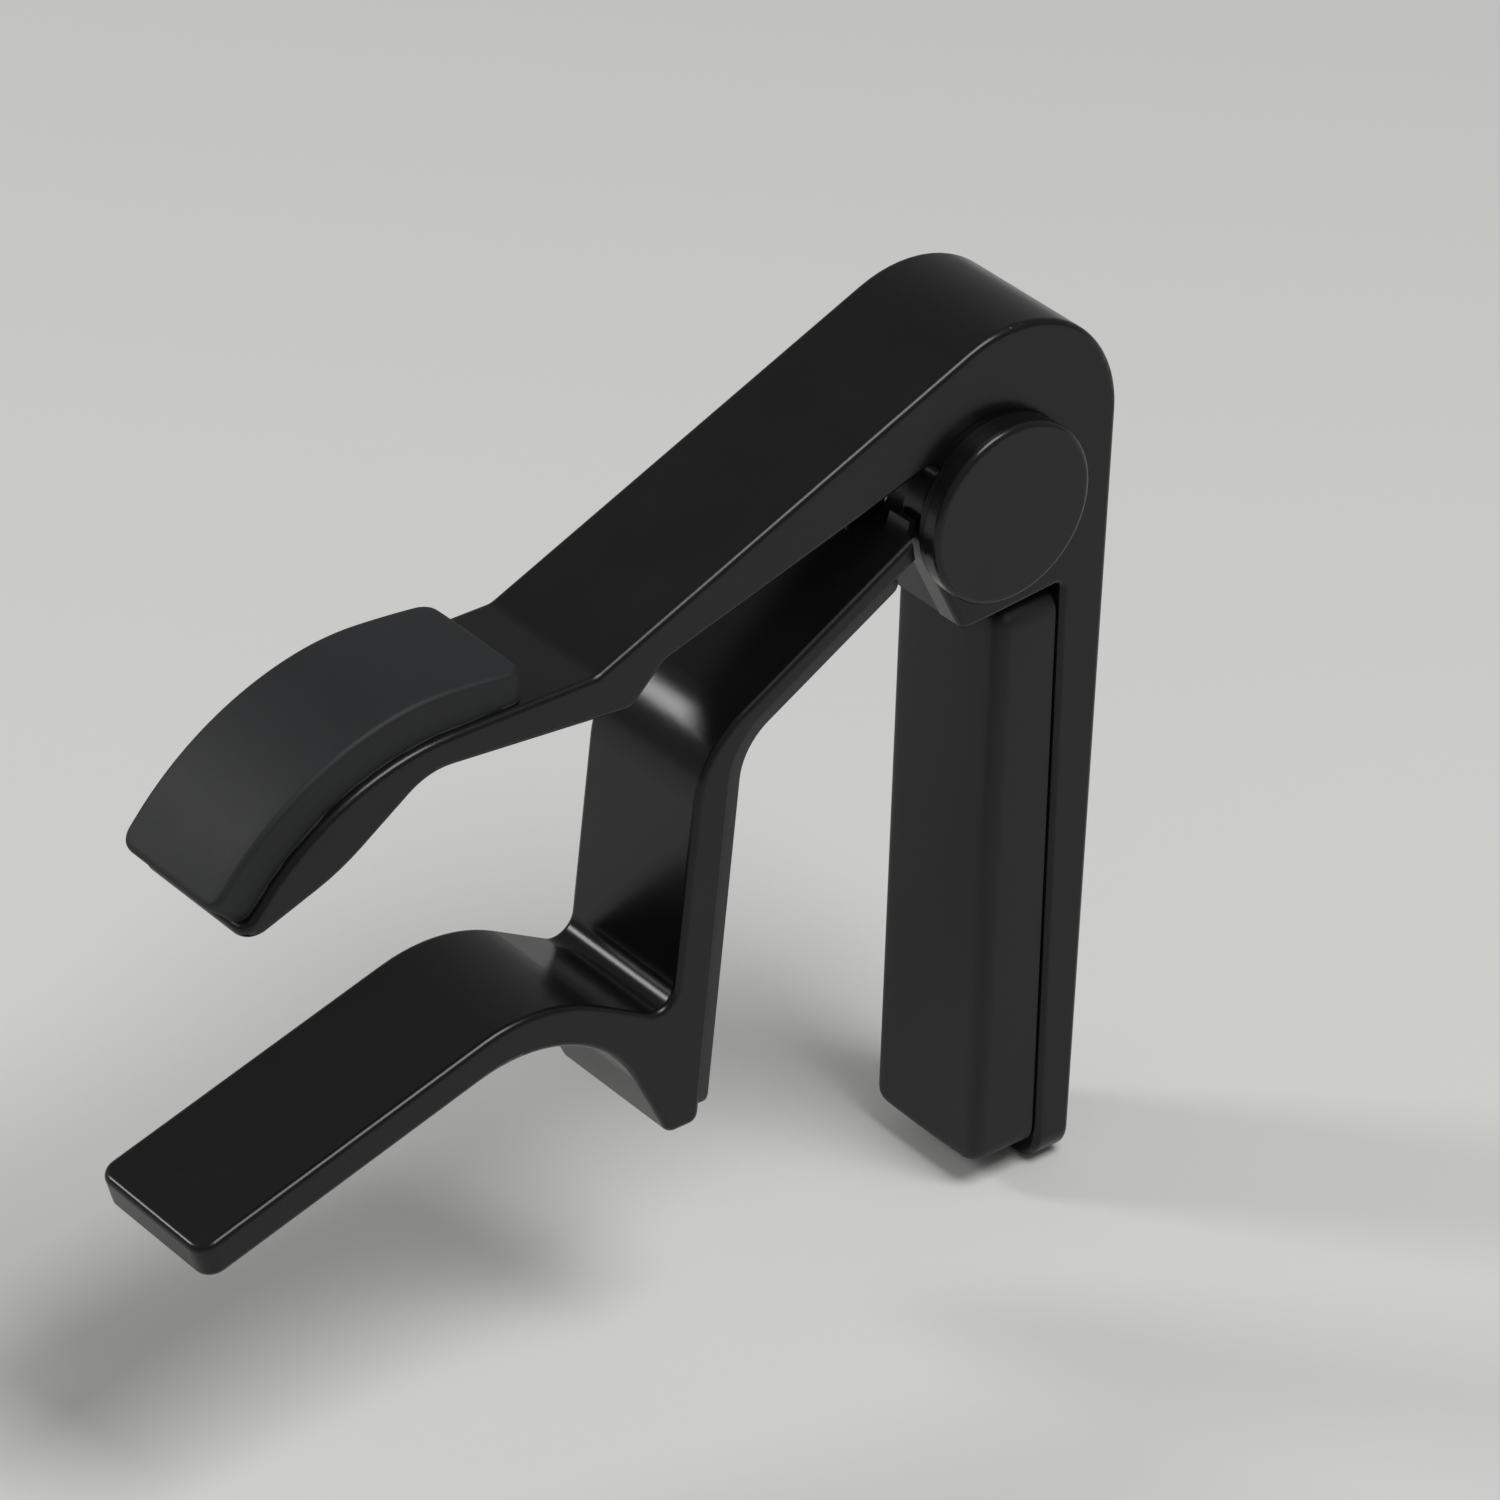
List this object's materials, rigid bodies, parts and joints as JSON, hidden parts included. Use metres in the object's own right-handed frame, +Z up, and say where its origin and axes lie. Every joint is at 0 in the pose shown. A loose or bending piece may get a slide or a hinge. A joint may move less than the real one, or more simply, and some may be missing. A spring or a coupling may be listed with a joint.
{
  "type": "guitar capo",
  "caption": "Spring-clamp guitar capo: two pivoted cast arms with squeeze handles press a soft pad across the fretboard and a soft-lined plate behind the neck.",
  "frame": {"origin": "centre of the fretboard pad's contact face", "axes": "+X along the guitar neck (the pivot's axis), +Y out of the fretboard through the pad into the jaw, +Z up the pad towards the pivot; the handles reach towards -Y"},
  "size_m": [0.016, 0.0777, 0.0723],
  "materials": {
    "black_paint": "satin black",
    "cap_paint": "satin black",
    "ring_paint": "satin black",
    "grip_silicone": "matte, very fine grain",
    "pad_silicone": "matte",
    "liner_silicone": "matte",
    "steel": "turned",
    "spring_steel": "oiled wire",
    "nylon": "natural"
  },
  "bodies": {
    "fretboard_side": {"fretboard_arm": "black_paint", "handle_grip": "grip_silicone", "fretboard_pad": "pad_silicone", "pivot_pin": "steel", "pivot_cap_near": "cap_paint", "pivot_cap_far": "cap_paint", "cap_ring_near": "ring_paint", "cap_ring_far": "ring_paint", "thrust_washer_near": "nylon", "thrust_washer_far": "nylon", "spring_sleeve": "nylon", "torsion_spring": "spring_steel"},
    "neck_side": {"neck_arm": "black_paint", "neck_liner": "liner_silicone", "ear_bush_near": "nylon", "ear_bush_far": "nylon"}
  },
  "joints": [
    {"name": "jaw_pivot", "type": "hinge", "parent": "fretboard_side", "child": "neck_side", "pos_m": [0, -0.0013, 0.0334], "axis": [1, 0, 0], "range_deg": [-18.5, 32], "stiffness_Nm_per_rad": 0.3, "deforming": ["torsion_spring"]}
  ]
}
